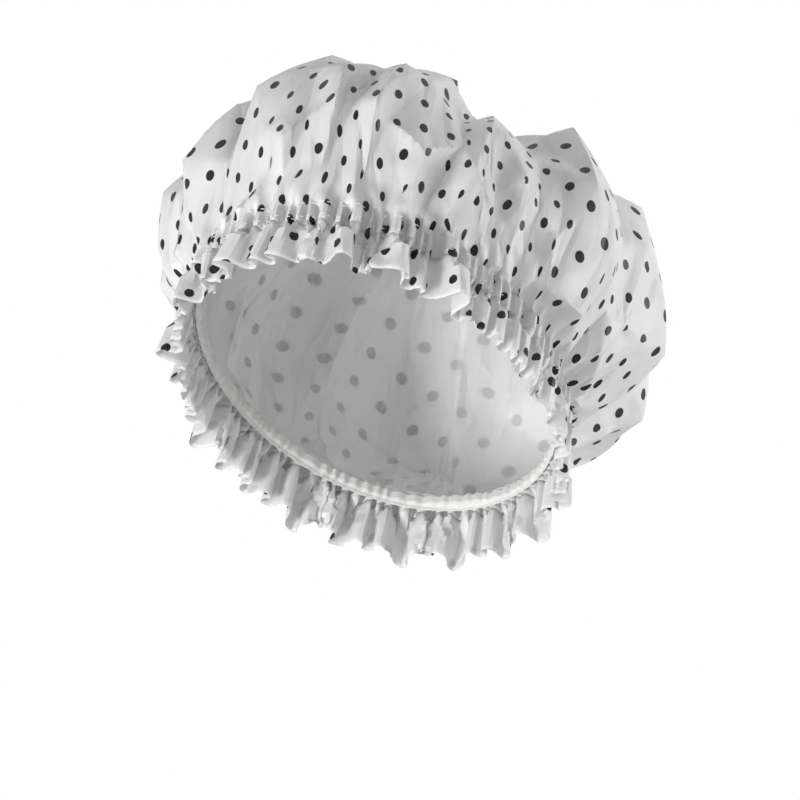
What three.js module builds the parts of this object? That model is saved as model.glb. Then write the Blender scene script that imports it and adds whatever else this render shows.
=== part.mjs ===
// A frilled shower cap: a disc of thin printed film, gathered on an elastic that runs in a sewn casing.
// Millimetres. The origin is the middle of the head opening, +Z is up as worn, -Y is the front of the
// cap and +X is the wearer's left. The rim lies in one plane, which rises to the front.
import * as THREE from 'three';

// Head opening: an oval, measured to the inner face of the film at the gathered rim
const RIM_HALF_WIDTH = 79;
const RIM_HALF_LENGTH = 108;
const WORN_TILT = 33; // degrees that the rim's plane rises to the front

// Film crown, measured from the rim's plane along the rim's own axis
const FILM_WALL = 0.8; // stand-in for a film of about 0.12 mm
const WIDEST_HEIGHT = 52; // the rim's plane to the crown's widest line
const DOME_HEIGHT = 85; // the widest line to the top
const TOP_SET_BACK = 34; // from the rim's centre towards the nape
const FRONT_OVERHANG = 5;
const SIDE_OVERHANG = 30;
const BACK_OVERHANG = 38;
const CROWN_RINGS = 7; // rings of points between the rim and the top
const LOBE_ROUNDNESS = 0.75; // under 1 gives full lobes with sharp folds between them

// Lobes of the crown between its radial folds, from the fold beside the front round by the wearer's left.
// columns is a lobe's width in rim stations, fold how far the fold at its start lies under the smooth dome,
// swell how far its middle stands over its two folds, and crest where it is fullest (0 rim, 1 top).
const LOBES = [
  { columns: 7, fold: 11, swell: 13, crest: 0.48 },
  { columns: 5, fold: 1, swell: 13, crest: 0.56 },
  { columns: 5, fold: 22, swell: 4, crest: 0.6 },
  { columns: 6, fold: 18, swell: 13, crest: 0.57 },
  { columns: 6, fold: 5, swell: 10, crest: 0.45 },
  { columns: 5, fold: 4, swell: 8, crest: 0.32 },
  { columns: 5, fold: 8, swell: 13, crest: 0.38 },
  { columns: 5, fold: 7, swell: 12, crest: 0.42 },
  { columns: 5, fold: 8, swell: 14, crest: 0.4 },
  { columns: 5, fold: 7, swell: 12, crest: 0.42 },
  { columns: 6, fold: 8, swell: 8, crest: 0.34 },
  { columns: 4, fold: 5, swell: 6, crest: 0.42 },
];
const FIRST_FOLD = -5; // station of the first lobe's fold, counted from the front

// Film frill below the rim
const FRILL_WIDTH = 22;
const FRILL_PLEATS = 60;
const FRILL_FLARE = 1.5; // how far the free edge stands out past the rim
const PLEAT_DEPTH_AT_RIM = 0.8;
const PLEAT_DEPTH_AT_EDGE = 5.5;
const PLEAT_OPENING = 0.5; // under 1 lets a pleat deepen soonest just below the rim
const FLARE_BEND = 1.5; // over 1 lets the frill turn out most at its free edge
const FRILL_ROWS = 4;

// Elastic and its casing
const ELASTIC_WIDTH = 4;
const ELASTIC_THICKNESS = 0.7;
const ELASTIC_LAP = 2; // rim stations over which its two ends lie on each other
const TAPE_WALL = 0.4;
const TAPE_STEP = 0.6; // width of the bend from the tunnel to the sewn margin
const TAPE_MARGIN = 1.8;
const THREAD_DIAMETER = 0.5; // stand-in for a thread of about 0.25 mm
const THREAD_SIDES = 5;
const TACK_LENGTH = 5;
const TACK_HEIGHT = 2.6;
const TACK_STROKES = 7;
const TACK_STEPS_PER_STROKE = 4;
const TACK_SLACK = 0.2; // roundness of the tack's turns
const NECK_MARGIN = 0.6; // film past the tape, on each side of it
const CLEARANCE = 0.3; // between pieces that lie on each other

// Heights from the rim's plane, and depths inwards from the film, that follow from those sizes
const tunnelHalf = ELASTIC_WIDTH / 2 + CLEARANCE;
const marginStart = tunnelHalf + TAPE_STEP;
const tapeHalf = marginStart + TAPE_MARGIN;
const stitchHeight = (marginStart + tapeHalf) / 2;
const neckHalf = tapeHalf + NECK_MARGIN;
const threadRadius = THREAD_DIAMETER / 2;
const tunnelDepth = CLEARANCE + ELASTIC_THICKNESS + CLEARANCE;
const lapDepth = tunnelDepth + ELASTIC_THICKNESS + CLEARANCE + THREAD_DIAMETER + CLEARANCE;

const RIM_STATIONS = LOBES.reduce((sum, lobe) => sum + lobe.columns, 0);
const joinStation = RIM_STATIONS / 2;
const rim = new THREE.EllipseCurve(0, 0, RIM_HALF_WIDTH, RIM_HALF_LENGTH, -Math.PI / 2, 1.5 * Math.PI);

const printedFilm = { color: 0xe9e9e9, roughness: 0.4, metalness: 0 };
const plainTape = { color: 0xf1f1ef, roughness: 0.5, metalness: 0 };
const braidedElastic = { color: 0xf4f4f2, roughness: 0.85, metalness: 0 };
const sewingThread = { color: 0xf6f6f4, roughness: 0.7, metalness: 0 };

// Where the rim passes a turn (0 and 1 at the front, 0.25 at the wearer's left) and which way is out
function rimAt(turn) {
  const wrapped = THREE.MathUtils.euclideanModulo(turn, 1);
  const tangent = rim.getTangentAt(wrapped);
  return { at: rim.getPointAt(wrapped), out: new THREE.Vector2(tangent.y, -tangent.x) };
}

// A point beside the rim: out from the film's inner face, and up from the rim's plane
function besideRim(turn, out, up) {
  const { at, out: away } = rimAt(turn);
  return new THREE.Vector3(at.x + away.x * out, at.y + away.y * out, up);
}

function solidFrom(points, triangles) {
  const geometry = new THREE.BufferGeometry().setFromPoints(points);
  geometry.setIndex(triangles.flat());
  geometry.computeVertexNormals();
  return geometry;
}

// The two triangles of each quad between neighbouring sections; a section's points run with the
// solid on their left when seen along the sweep
function stripTriangles(first, second, count) {
  const triangles = [];
  for (let i = 0; i < count; i += 1) {
    const next = (i + 1) % count;
    triangles.push([first + i, second + i, second + next], [first + i, second + next, first + next]);
  }
  return triangles;
}

// Sections joined one after the other into one body, either round to the first again or with flat ends
function loft(sections, closed) {
  const count = sections[0].length;
  const triangles = [];
  const strips = closed ? sections.length : sections.length - 1;
  for (let s = 0; s < strips; s += 1) {
    triangles.push(...stripTriangles(s * count, ((s + 1) % sections.length) * count, count));
  }
  if (!closed) {
    const last = (sections.length - 1) * count;
    for (let i = 1; i < count - 1; i += 1) {
      triangles.push([0, i, i + 1], [last, last + i + 1, last + i]);
    }
  }
  return solidFrom(sections.flat(), triangles);
}

// A body that runs once round the rim; sectionAt gives its section as [out, up] pairs at a turn
function ringRoundRim(stations, sectionAt) {
  const sections = [];
  for (let s = 0; s < stations; s += 1) {
    const turn = s / stations;
    sections.push(sectionAt(turn, s).map(([out, up]) => besideRim(turn, out, up)));
  }
  return loft(sections, true);
}

// Share of the lapped join at a station: 1 over the lap, 0 one station past it
function joinShare(station) {
  const past = Math.abs(station - joinStation) - ELASTIC_LAP / 2;
  return THREE.MathUtils.clamp(1 - past, 0, 1);
}

// How far the crown's widest line stands out past the rim: little at the front, most at the sides and back
function overhangAt(turn) {
  const toSide = THREE.MathUtils.smoothstep(Math.sin(Math.PI * turn), 0, Math.SQRT1_2);
  const toBack = THREE.MathUtils.smoothstep(Math.sin(Math.PI * turn), Math.SQRT1_2, 1);
  const side = THREE.MathUtils.lerp(FRONT_OVERHANG, SIDE_OVERHANG, toSide);
  return side + (BACK_OVERHANG - SIDE_OVERHANG) * toBack;
}

// How far a lobe lifts the film off the smooth dome, at a station and a share of the way from rim to top
function lobeLift(station, share) {
  const place = THREE.MathUtils.euclideanModulo(station - FIRST_FOLD, RIM_STATIONS);
  let end = 0;
  const index = LOBES.findIndex(({ columns }) => {
    end += columns;
    return place < end;
  });
  const lobe = LOBES[index];
  const nextFold = LOBES[(index + 1) % LOBES.length].fold;
  const across = 1 - (end - place) / lobe.columns;
  const arch = lobe.swell * Math.sin(Math.PI * across) ** LOBE_ROUNDNESS;
  const along = Math.sin(Math.PI * share ** (Math.log(0.5) / Math.log(lobe.crest)));
  return (arch - THREE.MathUtils.lerp(lobe.fold, nextFold, across)) * along;
}

// A point of the crown's film on a station's meridian; share runs from 0 at the rim to 1 at the top, and
// the film is offset outwards by wall
function crownPoint(station, share, wall) {
  const turn = station / RIM_STATIONS;
  const foot = besideRim(turn, wall, neckHalf);
  const axis = new THREE.Vector3(0, TOP_SET_BACK, WIDEST_HEIGHT);
  const spoke = new THREE.Vector3(foot.x - axis.x, foot.y - axis.y, 0);
  const footReach = spoke.length();
  const widest = footReach + overhangAt(turn);
  const below = Math.acos(footReach / widest);
  const angle = THREE.MathUtils.lerp(-below, Math.PI / 2, share);
  const height = angle < 0 ? (WIDEST_HEIGHT - neckHalf) / Math.sin(below) : DOME_HEIGHT + wall;
  const out = spoke.normalize().multiplyScalar(widest * Math.cos(angle));
  const smooth = axis.clone().add(out).add(new THREE.Vector3(0, 0, height * Math.sin(angle)));
  const lift = smooth.clone().sub(axis).normalize().multiplyScalar(lobeLift(station, share));
  return smooth.add(lift);
}

// The crown: outer face from the top down to the neck's lower edge, and the inner face back up to the top
function crownGeometry() {
  const points = [];
  const rings = [];
  const addRing = (pointAt) => {
    rings.push(points.length);
    for (let s = 0; s < RIM_STATIONS; s += 1) points.push(pointAt(s));
  };
  const shares = Array.from({ length: CROWN_RINGS + 1 }, (_, i) => 1 - (i + 1) / (CROWN_RINGS + 1));
  shares.forEach((share) => addRing((s) => crownPoint(s, share, FILM_WALL)));
  addRing((s) => besideRim(s / RIM_STATIONS, FILM_WALL, -neckHalf));
  addRing((s) => besideRim(s / RIM_STATIONS, 0, -neckHalf));
  shares.reverse().forEach((share) => addRing((s) => crownPoint(s, share, 0)));
  const outerTop = points.push(crownPoint(0, 1, FILM_WALL)) - 1;
  const innerTop = points.push(crownPoint(0, 1, 0)) - 1;
  const triangles = [];
  for (let r = 0; r < rings.length - 1; r += 1) {
    triangles.push(...stripTriangles(rings[r], rings[r + 1], RIM_STATIONS));
  }
  const firstRing = rings[0];
  const lastRing = rings[rings.length - 1];
  for (let s = 0; s < RIM_STATIONS; s += 1) {
    const next = (s + 1) % RIM_STATIONS;
    triangles.push([outerTop, firstRing + s, firstRing + next], [innerTop, lastRing + next, lastRing + s]);
  }
  return solidFrom(points, triangles);
}

// The frill: a pleated skirt that hangs from the neck's lower edge and flares to its free edge
function frillGeometry() {
  const top = -neckHalf - CLEARANCE;
  return ringRoundRim(2 * FRILL_PLEATS, (turn, station) => {
    const fold = station % 2 === 0 ? 1 : 0;
    const outer = [];
    const inner = [];
    for (let r = 0; r <= FRILL_ROWS; r += 1) {
      const down = r / FRILL_ROWS;
      const depth = THREE.MathUtils.lerp(PLEAT_DEPTH_AT_RIM, PLEAT_DEPTH_AT_EDGE, down ** PLEAT_OPENING);
      const out = FRILL_FLARE * down ** FLARE_BEND + fold * depth;
      outer.push([out + FILM_WALL, top - FRILL_WIDTH * down]);
      inner.push([out, top - FRILL_WIDTH * down]);
    }
    return [...outer.reverse(), ...inner];
  });
}

// The casing tape: a strip whose margins lie on the film and whose middle stands off it, round the elastic
function tapeGeometry() {
  return ringRoundRim(RIM_STATIONS, (turn, station) => {
    const depth = THREE.MathUtils.lerp(tunnelDepth, lapDepth, joinShare(station));
    const face = [
      [-CLEARANCE, -tapeHalf],
      [-CLEARANCE, -marginStart],
      [-depth, -tunnelHalf],
      [-depth, tunnelHalf],
      [-CLEARANCE, marginStart],
      [-CLEARANCE, tapeHalf],
    ];
    const back = face.map(([out, up]) => [out - TAPE_WALL, up]).reverse();
    return [...face, ...back];
  });
}

// The elastic: a flat strip once round the rim, whose last stretch steps in to lie on its first
function elasticGeometry() {
  const sections = [];
  const half = ELASTIC_LAP / 2;
  for (let s = joinStation - half; s <= joinStation + RIM_STATIONS + half; s += 1) {
    const lapped = s > joinStation + half ? joinShare(s - RIM_STATIONS) : 0;
    const face = -CLEARANCE - lapped * (ELASTIC_THICKNESS + CLEARANCE);
    const edge = ELASTIC_WIDTH / 2;
    const section = [
      [face, -edge],
      [face, edge],
      [face - ELASTIC_THICKNESS, edge],
      [face - ELASTIC_THICKNESS, -edge],
    ];
    sections.push(section.map(([out, up]) => besideRim(s / RIM_STATIONS, out, up)));
  }
  return loft(sections, false);
}

// A row of stitches' thread, run once round the rim
function threadGeometry(out, up) {
  return ringRoundRim(RIM_STATIONS, () => {
    const section = [];
    for (let i = 0; i < THREAD_SIDES; i += 1) {
      const angle = (2 * Math.PI * i) / THREAD_SIDES;
      section.push([out + threadRadius * Math.cos(angle), up + threadRadius * Math.sin(angle)]);
    }
    return section;
  });
}

// The tack: one thread in a flat zigzag, made lying along X with its strokes up Z
function tackGeometry() {
  const corners = [];
  for (let i = 0; i <= TACK_STROKES; i += 1) {
    const along = TACK_LENGTH * (i / TACK_STROKES - 0.5);
    corners.push(new THREE.Vector3(along, 0, TACK_HEIGHT * (i % 2 === 0 ? -0.5 : 0.5)));
  }
  const path = new THREE.CatmullRomCurve3(corners, false, 'catmullrom', TACK_SLACK);
  const round = new THREE.Shape().absarc(0, 0, threadRadius, 0, 2 * Math.PI);
  return new THREE.ExtrudeGeometry(round, {
    extrudePath: path,
    steps: TACK_STEPS_PER_STROKE * TACK_STROKES,
    curveSegments: THREAD_SIDES,
    bevelEnabled: false,
  });
}

function piece(name, geometry, finish) {
  const mesh = new THREE.Mesh(geometry, new THREE.MeshStandardMaterial(finish));
  mesh.name = name;
  return mesh;
}

const needleOut = FILM_WALL + CLEARANCE + threadRadius;
const bobbinOut = -CLEARANCE - TAPE_WALL - CLEARANCE - threadRadius;

// The tack lies flat on the inner end of the elastic, between the lap's middle and its end
const tack = piece('elastic_tack', tackGeometry(), sewingThread);
const tackOut = -tunnelDepth - ELASTIC_THICKNESS - CLEARANCE - threadRadius;
const tackStart = besideRim(joinStation / RIM_STATIONS, tackOut, 0);
const tackEnd = besideRim((joinStation + 1) / RIM_STATIONS, tackOut, 0);
tack.position.addVectors(tackStart, tackEnd).multiplyScalar(0.5);
tack.rotation.z = Math.atan2(tackEnd.y - tackStart.y, tackEnd.x - tackStart.x);

const worn = new THREE.Group();
worn.rotation.x = THREE.MathUtils.degToRad(-WORN_TILT);
worn.add(
  piece('film_crown', crownGeometry(), printedFilm),
  piece('film_frill', frillGeometry(), printedFilm),
  piece('casing_tape', tapeGeometry(), plainTape),
  piece('elastic_band', elasticGeometry(), braidedElastic),
  piece('upper_needle_thread', threadGeometry(needleOut, stitchHeight), sewingThread),
  piece('upper_bobbin_thread', threadGeometry(bobbinOut, stitchHeight), sewingThread),
  piece('lower_needle_thread', threadGeometry(needleOut, -stitchHeight), sewingThread),
  piece('lower_bobbin_thread', threadGeometry(bobbinOut, -stitchHeight), sewingThread),
  tack,
);

const showerCap = new THREE.Group();
showerCap.add(worn);

export default showerCap;
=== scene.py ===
"""A frilled shower cap of thin dotted film, gathered on an elastic that runs in a sewn casing.

The frame gives the solids in metres, as worn: the origin is the middle of the head opening, +Z is up and
-Y is the front. Sizes below are in millimetres.
"""
import math

import bmesh
import bpy
import numpy as np
from mathutils import Matrix, Vector
from mathutils.bvhtree import BVHTree
from mathutils.geometry import delaunay_2d_cdt


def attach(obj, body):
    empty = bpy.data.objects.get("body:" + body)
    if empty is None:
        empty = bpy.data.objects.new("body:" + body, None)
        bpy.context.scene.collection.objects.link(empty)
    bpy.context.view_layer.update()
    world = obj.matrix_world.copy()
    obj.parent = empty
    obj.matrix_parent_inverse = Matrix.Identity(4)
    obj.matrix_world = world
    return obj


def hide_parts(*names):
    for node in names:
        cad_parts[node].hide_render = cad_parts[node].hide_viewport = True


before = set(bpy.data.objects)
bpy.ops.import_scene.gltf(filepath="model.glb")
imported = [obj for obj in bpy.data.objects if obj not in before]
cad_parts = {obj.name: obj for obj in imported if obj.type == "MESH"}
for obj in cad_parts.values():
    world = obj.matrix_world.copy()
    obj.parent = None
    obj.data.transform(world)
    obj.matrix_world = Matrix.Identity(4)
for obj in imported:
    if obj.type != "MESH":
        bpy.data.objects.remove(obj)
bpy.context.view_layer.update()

MM = 0.001
SEED = 7

# Head opening: the oval of the film's inner face, in a plane that rises to the front
RIM_HALF_WIDTH = 79.0
RIM_HALF_LENGTH = 108.0
WORN_TILT = math.radians(33)

# The crown: how far back its top lies, how high its widest part, and half the height of its sewn neck
TOP_SET_BACK = 34.0
WIDEST_HEIGHT = 52.0
NECK_HALF = 5.3
CROWN_CENTRE = np.array([0.0, TOP_SET_BACK, WIDEST_HEIGHT])

# Lobes of the crown: their widths in stations of the rim, from the fold beside the front
RIM_STATIONS = 64
FIRST_FOLD = -5
LOBE_STATIONS = (7, 5, 5, 6, 6, 5, 5, 5, 5, 5, 6, 4)

# The film, one cut disc: its gathered crown, the margin that becomes the frill, and the top of the sewn neck
CROWN_CUT_RADIUS = 212.0
FRILL_WIDTH = 22.3
FILM_THICKNESS = 0.14
NECK_RADIUS = CROWN_CUT_RADIUS - 2 * NECK_HALF

# The mesh of the disc: columns round its edge, halved wherever they crowd
EDGE_COLUMNS = 768
FEWEST_COLUMNS = 24
RING_STEP = 2.5
NARROWEST_STEP = 1.3

# Folds of the gathered film: their width at the rim, how uneven they are, and the share of film they take up
FOLD_WIDTH = 20.0
FOLD_SPREAD = 0.3
PUCKER_SPREAD = 0.5
FOLD_STRENGTH = (0.3, 0.75)
WANDER_KNOTS = 41

# Heights above the neck between which each kind of fold dies out
PUCKER_END = (0.0, 5.0)
PLEAT_END = (5.0, 24.0)
FOLD_END = (30.0, 95.0)
LOBE_END = (60.0, 120.0)

# The puckers stand off the rim; from this height up, the film starts as deep as a share of its highest folds
PUCKER_LIFT = 0.3
SUNK_SHARE = 0.75
SUNK_CLIMB = 30.0
SUNK_PERCENTILE = 90

# The frill: its flare, how far down its pleats open, the most that run together in pairs, and their lean
FRILL_FLARE = 1.5
FLARE_POWER = 1.5
PLEAT_OPENING = 7.0
WIDE_PLEATS = 0.6
PLEAT_LEAN = 0.5

# The simulation runs at ten times size, where the solver's fixed distances suit the film
SIM_SCALE = 10.0
SIM_FRAMES = 30
FILM_STIFFNESS = 120
FILM_DAMPING = 25

# How firmly the settling film is held to its first shape, on the lobes and on the frill
FILM_HOLD = 0.14
FRILL_HOLD = 0.2
LOBE_SPAN = (0.3, 0.85)
SEAM_MARGIN = 1.0

# The open film is smoothed above the gathers, in rounds
EASE_ROUNDS = 14
EASE_START = (5.0, 28.0)

# Flat facets that the stiff film buckles into: rings of corners on the disc, and their spacing on each
CORNER_RINGS = ((194, 14), (160, 18), (128, 22), (98, 24), (68, 24), (36, 24))
CORNER_JITTER = 0.32
CORNER_STRAY = 12.0
CORNER_LIFT = (1.5, 7.0)
CORNER_SINK = (-3.0, 0.5)
BUCKLE_SHARE = 0.65
SOLID_REACH = 20.0
SAME_SPOT = 1e-9

# Sharp folds of the stiff film, which rise from the gathers: where they start up the crown, and their sizes
RIDGES = 30
RIDGE_COLUMNS = 4
RIDGE_FOOT = (20.0, 60.0)
RIDGE_RISE = 6.0
RIDGE_LENGTH = (30.0, 90.0)
RIDGE_HEIGHT = (1.0, 2.4)
RIDGE_WIDTH = (8.0, 18.0)
VALLEY_SHARE = 0.4

# Angles, in degrees, over which an edge shades as a sharp fold, by its height above the cut
SHARP_ANGLES = ((-20, 20), (-5, 26), (2, 40), (12, 40), (28, 32))

# The print: dots in staggered rows on the flat film
DOT_SPACING = 15.6
DOT_DIAMETER = 4.9
DOT_SOFT_EDGE = 0.12

# Fine crinkle in the film's surface: facets in two sizes, less of it in the gathers and none at the top
FACET_WIDTH = 40.0
FACET_LENGTH = 75.0
FACET_RELIEF = 5.0
FACET_WANDER = 0.4
FACET_LAYERS = ((1.0, 1.0), (2.0, 0.3))
DRIFT_SCALE = 0.6
GATHER_SHARE = 0.15
FLAT_TOP = (30.0, 110.0)
GRAIN = 2.2
GRAIN_RELIEF = 0.05
FILM_ROUGHNESS = (0.3, 0.48)
FILM_IOR = 1.49
LIGHT_THROUGH = 0.3

# The elastic: a flat braid with ribs along it, whose lapped join lies at the nape
ELASTIC_WIDTH = 4.0
ELASTIC_THICKNESS = 0.7
ELASTIC_RIBS = 9
RIB_RELIEF = 0.05
ROUND_EDGE_POWER = 8
ELASTIC_STEPS = 10
JOIN_STATION = RIM_STATIONS / 2
BRAID_STEP = 1.1
BRAID_SLANT = math.pi / 5

# Length of one band of the wave texture at scale 1
WAVE_BAND = 0.314

# The casing tape: a tunnel over the elastic between two margins, deeper where the elastic laps, and puckered
TAPE_HALF = 4.7
TUNNEL_HALF = 2.3
MARGIN_START = 2.9
TUNNEL_DEPTH = 1.3
LAP_DEPTH = 3.1
LAY_GAP = 0.3
TAPE_THICKNESS = 0.2
TAPE_PUCKER = 1.1
MARGIN_PUCKER = 0.3
TAPE_COLUMNS = 1200
TAPE_ROWS = 15
TAPE_RIPPLE = 3.0

# Stitches: their rows above and below the middle of the rim, their pitch and their thread
STITCH_HEIGHT = 3.8
STITCH_PITCH = 2.8
STITCH_LENGTH = 2.2
THREAD_DIAMETER = 0.4
THREAD_FUZZ = 0.3

# The photograph's view: azimuth and elevation of the camera, its roll, and where the origin falls
VIEW_AZIMUTH = math.radians(22.75)
VIEW_ELEVATION = math.radians(-4.65)
VIEW_ROLL = math.radians(2.27)
VIEW_WIDTH = 360.0
IMAGE_PIXELS = 800
ORIGIN_PIXEL = (379.4, 362.9)
SENSOR_WIDTH = 36.0

# The studio, in metres and watts: the camera's distance, the floor, the fill light and the lamps
CAMERA_DISTANCE = 4.0
CLIP_END = 50.0
FLOOR_HEIGHT = -0.6
FLOOR_SIZE = 24.0
FILL_LIGHT = 0.41
LAMPS = (
    ("left_softbox", (-0.45, -1.3, -0.45), (0.35, 0.7), 23),
    ("right_softbox", (1.1, 0.6, 0.0), (0.5, 1.0), 9),
)

rng = np.random.default_rng(SEED)


def tilt(points):
    """Points beside the rim's plane, in millimetres, turned to the worn frame in metres."""
    x, y, z = np.moveaxis(np.asarray(points, dtype=float), -1, 0)
    worn_y = y * math.cos(WORN_TILT) + z * math.sin(WORN_TILT)
    worn_z = z * math.cos(WORN_TILT) - y * math.sin(WORN_TILT)
    return np.stack([x, worn_y, worn_z], axis=-1) * MM


def untilt(points):
    """Points of the worn frame in metres, turned back to the rim's plane in millimetres."""
    x, y, z = np.moveaxis(np.asarray(points, dtype=float), -1, 0) / MM
    rim_y = y * math.cos(WORN_TILT) - z * math.sin(WORN_TILT)
    rim_z = z * math.cos(WORN_TILT) + y * math.sin(WORN_TILT)
    return np.stack([x, rim_y, rim_z], axis=-1)


class Rim:
    """The oval rim by arc length: turn 0 is the front and 0.25 the wearer's left."""

    def __init__(self, samples=4096):
        angle = np.linspace(-math.pi / 2, 1.5 * math.pi, samples + 1)
        points = np.stack([RIM_HALF_WIDTH * np.cos(angle), RIM_HALF_LENGTH * np.sin(angle)], axis=1)
        steps = np.linalg.norm(np.diff(points, axis=0), axis=1)
        walked = np.concatenate([[0], np.cumsum(steps)])
        self.length = walked[-1]
        self._turns = walked / self.length
        self._angle = angle

    def at(self, turn):
        """Where the rim passes, and the unit direction away from the opening."""
        angle = np.interp(np.mod(turn, 1.0), self._turns, self._angle)
        place = np.stack([RIM_HALF_WIDTH * np.cos(angle), RIM_HALF_LENGTH * np.sin(angle)], axis=-1)
        away = np.stack([RIM_HALF_LENGTH * np.cos(angle), RIM_HALF_WIDTH * np.sin(angle)], axis=-1)
        return place, away / np.linalg.norm(away, axis=-1, keepdims=True)


rim = Rim()


class Meander:
    """The fold that takes up a given share of spare film: a curve whose heading swings as a sine."""

    def __init__(self, samples=256, swings=201, widest_swing=2.0):
        self.t = np.linspace(0, 1, samples + 1)
        middle = (self.t[1:] + self.t[:-1]) / 2
        heading = np.linspace(0, widest_swing, swings)[:, None] * np.sin(2 * math.pi * middle)
        start = np.zeros((swings, 1))
        self.along = np.concatenate([start, np.cumsum(np.cos(heading), axis=1)], axis=1) / samples
        self.up = np.concatenate([start, np.cumsum(np.sin(heading), axis=1)], axis=1) / samples
        self.spare = 1 / self.along[:, -1]

    def at(self, t, spare):
        """Share of the way along, and height over the fold's own width, at a share t of its film."""
        row = int(round(np.interp(spare, self.spare, np.arange(len(self.spare)))))
        along = np.interp(t, self.t, self.along[row]) / self.along[row, -1]
        up = np.interp(t, self.t, self.up[row]) / self.along[row, -1]
        return along, up


class Zigzag:
    """The fold that takes up the same film with flat sides, a sharp ridge and a sharp valley."""

    def at(self, t, spare):
        """The same two results as a meander's."""
        slope = math.sqrt(spare ** 2 - 1)
        return t, slope * (np.abs(np.mod(t - 0.25, 1) - 0.5) - 0.25)


meander = Meander()
zigzag = Zigzag()


def split(edges, counts, spread):
    """Edges with each fold split into that many, in uneven shares."""
    finer = [edges[0]]
    for low, high, count in zip(edges, edges[1:], counts):
        shares = 1 + spread * rng.uniform(-1, 1, count)
        finer.extend(low + (high - low) * np.cumsum(shares) / shares.sum())
    return np.array(finer)


def fold_edges():
    """Edges of the folds as turns from the first fold: rim puckers, folds that they run into, and lobes."""
    lobes = np.concatenate([[0], np.cumsum(LOBE_STATIONS)]) / RIM_STATIONS
    counts = np.maximum(2, np.round(np.diff(lobes) * rim.length / FOLD_WIDTH)).astype(int)
    folds = split(lobes, counts, FOLD_SPREAD)
    pleats = split(folds, [2] * (len(folds) - 1), PUCKER_SPREAD)
    puckers = split(pleats, [2] * (len(pleats) - 1), PUCKER_SPREAD)
    return [puckers, pleats, folds, lobes]


def in_folds(turns, edges):
    """Places as turns from the first fold, and the start and width of the fold that each lies in."""
    place = np.mod(turns - FIRST_FOLD / RIM_STATIONS, 1.0)
    index = np.clip(np.searchsorted(edges, place, side="right") - 1, 0, len(edges) - 2)
    return place, edges[index], edges[index + 1] - edges[index]


def folded(turns, edges, shape, spare):
    """Turns moved along their folds, and the height of each, for film with that much to spare."""
    place, start, width = in_folds(turns, edges)
    along, up = shape.at((place - start) / width, spare)
    return turns + start + along * width - place, up * width * rim.length


def crown_solid(turned=lambda points: points):
    """The crown's solid, for rays, with its corners turned as asked."""
    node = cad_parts["film_crown"]
    triangles = [tuple(p.vertices) for p in node.data.polygons]
    corners = np.array([node.matrix_world @ v.co for v in node.data.vertices])
    return BVHTree.FromPolygons([Vector(c) for c in turned(corners)], triangles)


def crown_meridians(turns, steps=90):
    """Points up the crown's solid from the neck to the top, one row of points for each turn."""
    solid = crown_solid(untilt)
    place, _ = rim.at(turns)
    spoke = place - CROWN_CENTRE[:2]
    reach = np.linalg.norm(spoke, axis=1)
    rows = np.zeros((len(turns), steps + 1, 3))
    for i, (flat_way, foot) in enumerate(zip(spoke / reach[:, None], reach)):
        low = math.atan2(NECK_HALF - WIDEST_HEIGHT, foot)
        rows[i, 0] = (*place[i], NECK_HALF)
        for j in range(1, steps + 1):
            angle = low + (math.pi / 2 - low) * j / steps
            way = Vector((*(flat_way * math.cos(angle)), math.sin(angle)))
            hit = solid.ray_cast(Vector(CROWN_CENTRE), way)[0]
            rows[i, j] = hit if hit else rows[i, j - 1]
    return rows


def disc_rings():
    """Radii of the disc's rings from its edge inwards, and the count of columns on each."""
    radii = []
    counts = []
    radius = CROWN_CUT_RADIUS + FRILL_WIDTH
    columns = EDGE_COLUMNS
    while radius > RING_STEP:
        radii.append(radius)
        counts.append(columns)
        radius -= RING_STEP
        if 2 * math.pi * radius / columns < NARROWEST_STEP and columns > FEWEST_COLUMNS:
            columns //= 2
    return radii, counts


def ring_faces(starts, counts, centre):
    """Quads between rings, triangles where the columns halve, and a fan at the top."""
    faces = []
    for outer, inner, many, few in zip(starts, starts[1:], counts, counts[1:]):
        for k in range(few):
            after = (k + 1) % few
            if many == few:
                faces.append((outer + k, outer + after, inner + after, inner + k))
            else:
                middle = outer + 2 * k + 1
                faces.append((outer + 2 * k, middle, inner + k))
                faces.append((middle, inner + after, inner + k))
                faces.append((middle, outer + (2 * k + 2) % many, inner + after))
    last, few = starts[-1], counts[-1]
    faces.extend((last + k, last + (k + 1) % few, centre) for k in range(few))
    return faces


def smooth_share(value, low, high):
    """0 up to the low value, 1 from the high one, and a smooth rise between them."""
    share = np.clip((value - low) / (high - low), 0, 1)
    return share * share * (3 - 2 * share)


def wandering(turns, low, high, most=1):
    """A random quantity that wanders round the rim and meets itself again."""
    values = most * rng.uniform(low, high, WANDER_KNOTS)
    values[-1] = values[0]
    return np.interp(turns, np.linspace(0, 1, WANDER_KNOTS), values)


def ring_base(climb, hang, turns, meridians, walked):
    """Where a ring of the disc lies before it is folded, its ways outwards, and its girth."""
    if climb > 0:
        share = climb / NECK_RADIUS
        base = np.stack([
            [np.interp(share * length[-1], length, line[:, axis]) for axis in range(3)]
            for length, line in zip(walked, meridians)
        ])
        way = base - CROWN_CENTRE
        way /= np.linalg.norm(way, axis=1, keepdims=True)
        girth = np.linalg.norm(np.diff(np.vstack([base, base[:1]]), axis=0), axis=1).sum()
        return base, way, girth
    place, away = rim.at(turns)
    flare = FRILL_FLARE * (hang / FRILL_WIDTH) ** FLARE_POWER
    base = np.column_stack([place + away * flare, np.full(len(turns), NECK_HALF + climb)])
    return base, np.column_stack([away, np.zeros(len(turns))]), rim.length


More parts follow.
